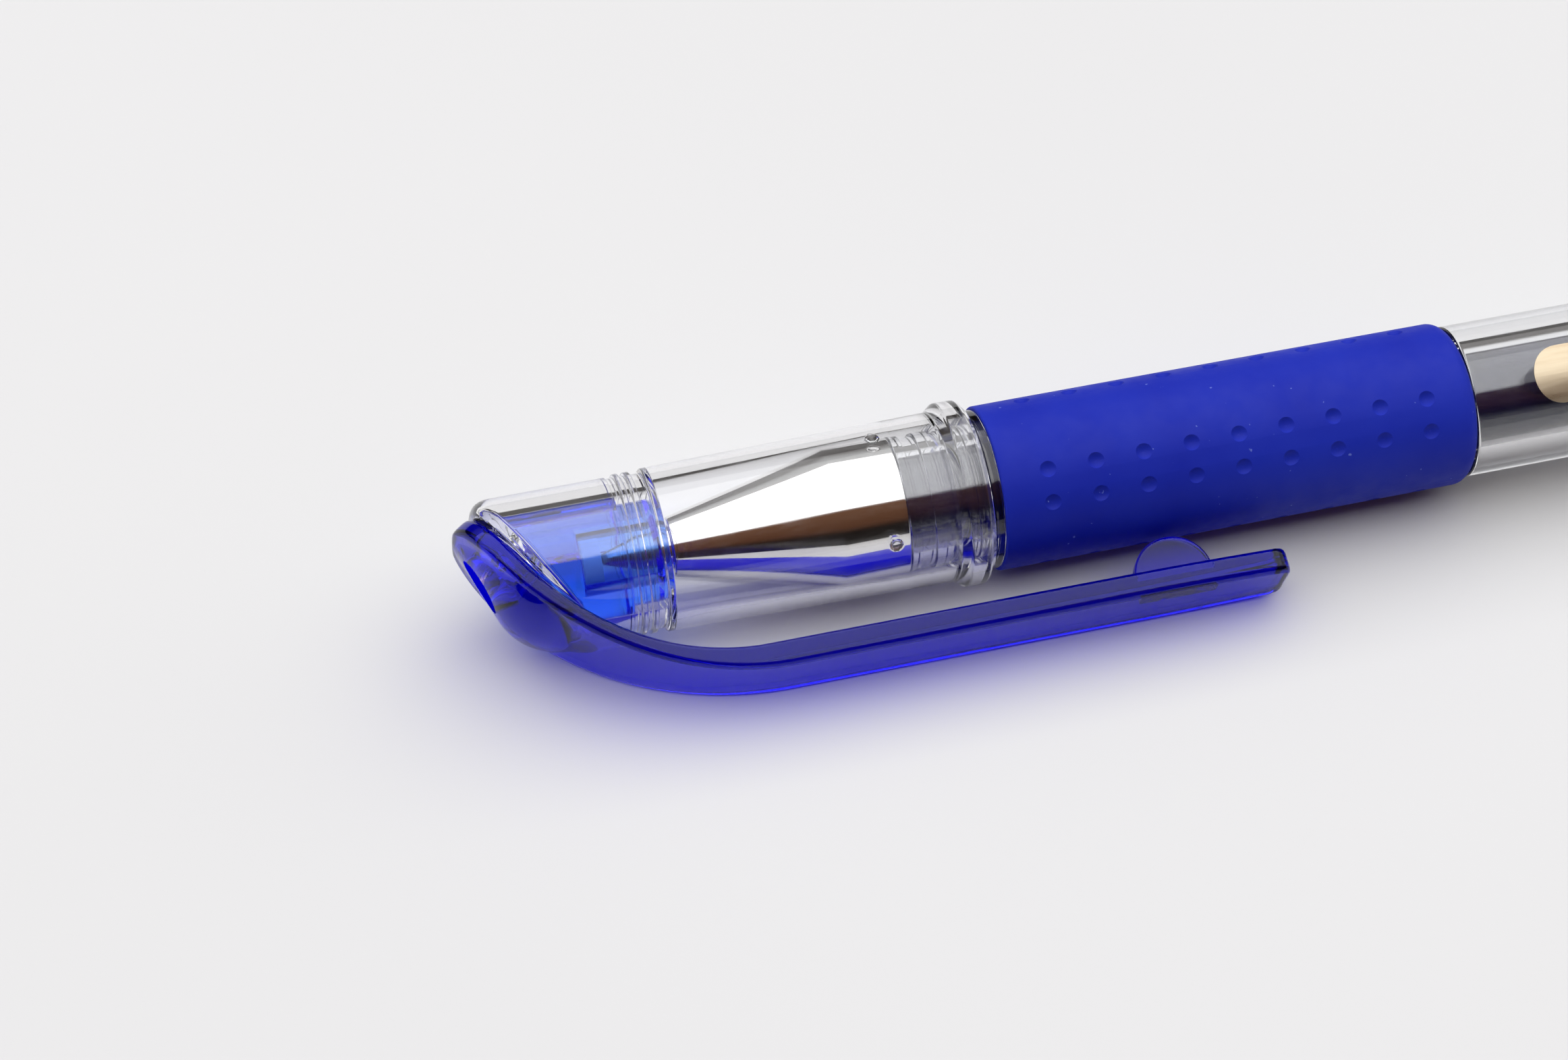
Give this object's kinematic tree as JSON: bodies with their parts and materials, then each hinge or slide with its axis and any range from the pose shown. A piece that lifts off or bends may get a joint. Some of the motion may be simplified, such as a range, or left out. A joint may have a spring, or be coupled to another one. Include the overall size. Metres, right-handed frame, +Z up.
{
  "type": "gel pen",
  "caption": "Capped gel pen: clear cap with a springy clip and inner seal, chromed nose cone, rubber grip, clear barrel and a refill with a rolling ball.",
  "frame": {"origin": "on the table, in the middle of the footprint of the pen as it lies on its cap's bead and clip", "axes": "+X along the pen's axis towards its tail, +Z up from the table, the clip on the -Y side"},
  "size_m": [0.1484, 0.0166, 0.0123],
  "materials": {
    "clear_plastic": "polished, transparent",
    "barrel_plastic": "polished, transparent",
    "grip_rubber": "matte",
    "clip_plastic": "polished, transparent blue",
    "seal_plastic": "polished, transparent blue",
    "plug_plastic": "gloss",
    "nose_chrome": "mirror plated",
    "refill_plastic": "translucent",
    "blue_ink": "wet",
    "grease": "clear",
    "holder_plastic": "satin",
    "point_steel": "turned",
    "ball_carbide": "polished",
    "stopper_rubber": "matte",
    "gold_foil": "foil"
  },
  "bodies": {
    "barrel": {"barrel_tube": "barrel_plastic", "grip_sleeve": "grip_rubber", "tail_plug": "plug_plastic", "barrel_print": "gold_foil"},
    "refill": {"refill_tube": "refill_plastic", "gel_ink": "blue_ink", "ink_follower": "grease", "tip_holder": "holder_plastic", "writing_tip": "point_steel"},
    "ball": {"tip_ball": "ball_carbide"},
    "nose": {"nose_cone": "nose_chrome"},
    "stopper": {"tip_seal": "stopper_rubber"},
    "cap": {"cap_shell": "clear_plastic", "cap_seal": "seal_plastic", "clip_crown": "clip_plastic"},
    "clip": {"clip_blade": "clip_plastic"}
  },
  "joints": [
    {"name": "nose_feed", "type": "slide", "parent": "barrel", "child": "refill", "axis": [-1, 0, 0], "range_m": [0, 0.0045]},
    {"name": "nose_turn", "type": "hinge", "parent": "refill", "child": "nose", "pos_m": [-0.05244, 0.00219, 0.00615], "axis": [-1, 0, 0], "range_deg": [0, 2160]},
    {"name": "ball_roll", "type": "hinge", "parent": "refill", "child": "ball", "pos_m": [-0.06483, 0.00219, 0.00615], "axis": [0, 0, 1], "continuous": true},
    {"name": "cap_pull", "type": "slide", "parent": "nose", "child": "stopper", "axis": [-1, 0, 0], "range_m": [0, 0.045]},
    {"name": "cap_turn", "type": "hinge", "parent": "stopper", "child": "cap", "pos_m": [-0.06544, 0.00219, 0.00615], "axis": [1, 0, 0], "continuous": true},
    {"name": "clip_flex", "type": "hinge", "parent": "cap", "child": "clip", "pos_m": [-0.06144, -0.00624, 0.003], "axis": [0, 0.3502, -0.9367], "range_deg": [0, 4.5], "stiffness_Nm_per_rad": 1.2}
  ],
  "couplings": [
    {"joint": "nose_turn", "follows": "nose_feed", "rad_per_m": 8377.6}
  ]
}
